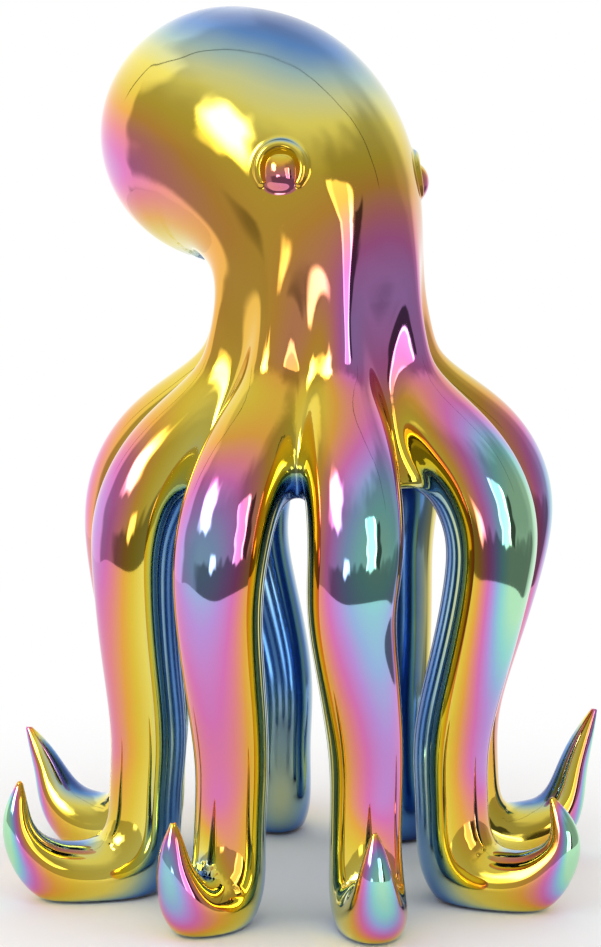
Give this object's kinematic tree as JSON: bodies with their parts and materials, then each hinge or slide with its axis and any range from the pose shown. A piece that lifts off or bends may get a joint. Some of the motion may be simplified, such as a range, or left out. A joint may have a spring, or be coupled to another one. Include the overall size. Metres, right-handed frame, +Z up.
{
  "type": "octopus figurine",
  "caption": "Hollow ceramic octopus ornament with a mirror rainbow plating, standing on curled arms with felt pads.",
  "frame": {"origin": "on the ground, under the middle of the whole ornament", "axes": "+Z up; the octopus faces -Y, its right side is at -X"},
  "size_m": [0.254, 0.2566, 0.3782],
  "materials": {
    "plated_glaze": "gloss",
    "plated_eye": "gloss",
    "felt": "matte"
  },
  "bodies": {
    "root": {"mantle": "plated_glaze", "head": "plated_glaze", "collar": "plated_glaze", "belly_plate": "plated_glaze", "arm_right_1": "plated_glaze", "arm_right_2": "plated_glaze", "arm_right_3": "plated_glaze", "arm_right_4": "plated_glaze", "arm_left_1": "plated_glaze", "arm_left_2": "plated_glaze", "arm_left_3": "plated_glaze", "arm_left_4": "plated_glaze", "eyelid_right": "plated_glaze", "eyelid_left": "plated_glaze", "eye_right": "plated_eye", "eye_left": "plated_eye", "foot_pad_right_1": "felt", "foot_pad_right_2": "felt", "foot_pad_right_3": "felt", "foot_pad_right_4": "felt", "foot_pad_left_1": "felt", "foot_pad_left_2": "felt", "foot_pad_left_3": "felt", "foot_pad_left_4": "felt"}
  },
  "joints": []
}
